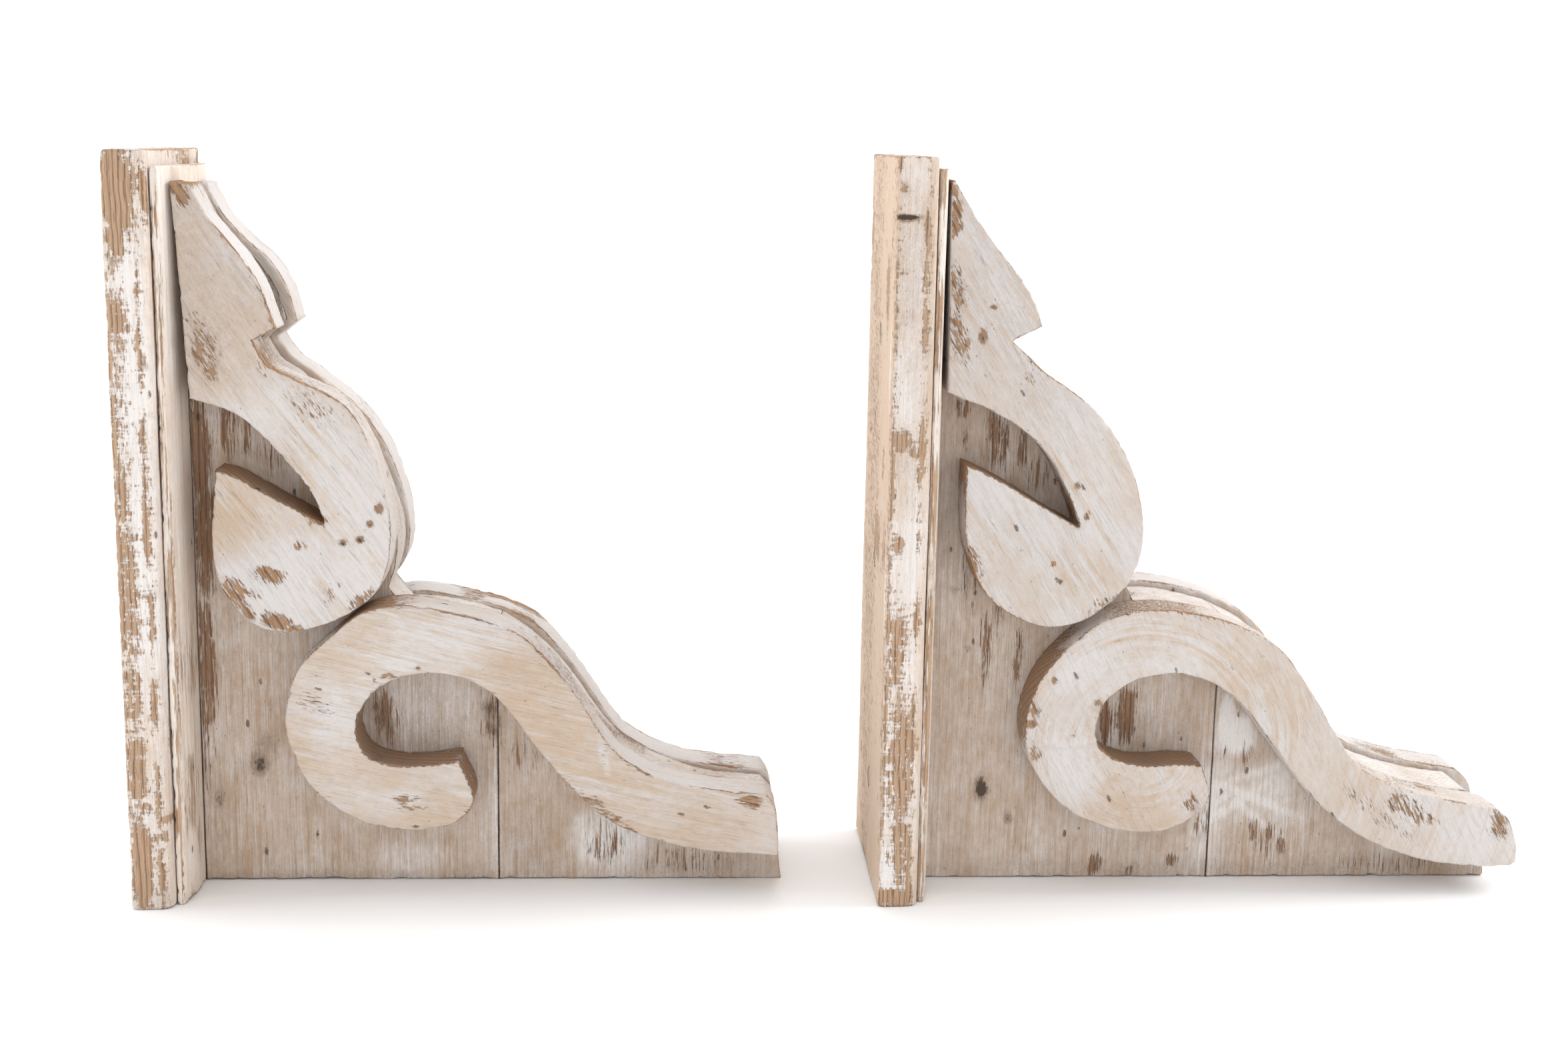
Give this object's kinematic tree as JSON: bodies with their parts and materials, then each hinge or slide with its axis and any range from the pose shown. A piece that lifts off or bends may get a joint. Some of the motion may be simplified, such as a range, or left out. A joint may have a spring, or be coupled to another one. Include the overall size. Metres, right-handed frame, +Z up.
{
  "type": "book ends",
  "caption": "Whitewashed wooden corbel book ends: an upright back board with a moulding, a bracket web and cut-out scrolls on both faces, used in pairs to hold a row of books.",
  "frame": {"origin": "on the shelf, under the middle of the pair's overall box", "axes": "+X along the row, from the plank's back face to the scroll's toe; +Y across the boards' width, away from the viewer; +Z up"},
  "size_m": [0.537, 0.09, 0.2837],
  "materials": {
    "whitewashed_plank": "pine board, thin white wash worn through to bare brown wood along its edges, raw on the back",
    "whitewashed_moulding": "thin pine moulding, white wash with cream showing through",
    "whitewashed_web": "edge-joined pine boards with upright grain, thin beige and white wash",
    "whitewashed_scroll": "sawn pine cut-outs, brushed white wash, bare brown wood on the worn edges",
    "beech_dowel": "plain beech",
    "zinc_screw": "zinc-plated",
    "bright_brad": "bright steel"
  },
  "bodies": {
    "left_book_end": {"left_back_plank": "whitewashed_plank", "left_dowel_1": "beech_dowel", "left_dowel_2": "beech_dowel", "left_face_moulding": "whitewashed_moulding", "left_lower_brad_far_1": "bright_brad", "left_lower_brad_far_2": "bright_brad", "left_lower_brad_far_3": "bright_brad", "left_lower_brad_near_1": "bright_brad", "left_lower_brad_near_2": "bright_brad", "left_lower_brad_near_3": "bright_brad", "left_lower_scroll_far": "whitewashed_scroll", "left_lower_scroll_near": "whitewashed_scroll", "left_screw_1": "zinc_screw", "left_screw_2": "zinc_screw", "left_screw_3": "zinc_screw", "left_upper_brad_far_1": "bright_brad", "left_upper_brad_far_2": "bright_brad", "left_upper_brad_near_1": "bright_brad", "left_upper_brad_near_2": "bright_brad", "left_upper_scroll_far": "whitewashed_scroll", "left_upper_scroll_near": "whitewashed_scroll", "left_web_front_board": "whitewashed_web", "left_web_rear_board": "whitewashed_web"},
    "right_book_end": {"right_back_plank": "whitewashed_plank", "right_dowel_1": "beech_dowel", "right_dowel_2": "beech_dowel", "right_face_moulding": "whitewashed_moulding", "right_lower_brad_far_1": "bright_brad", "right_lower_brad_far_2": "bright_brad", "right_lower_brad_far_3": "bright_brad", "right_lower_brad_near_1": "bright_brad", "right_lower_brad_near_2": "bright_brad", "right_lower_brad_near_3": "bright_brad", "right_lower_scroll_far": "whitewashed_scroll", "right_lower_scroll_near": "whitewashed_scroll", "right_screw_1": "zinc_screw", "right_screw_2": "zinc_screw", "right_screw_3": "zinc_screw", "right_upper_brad_far_1": "bright_brad", "right_upper_brad_far_2": "bright_brad", "right_upper_brad_near_1": "bright_brad", "right_upper_brad_near_2": "bright_brad", "right_upper_scroll_far": "whitewashed_scroll", "right_upper_scroll_near": "whitewashed_scroll", "right_web_front_board": "whitewashed_web", "right_web_rear_board": "whitewashed_web"}
  },
  "joints": [
    {"name": "shelf_slide", "type": "slide", "parent": "left_book_end", "child": "right_book_end", "axis": [1, 0, 0], "range_m": [-0.03, 0.3]}
  ]
}
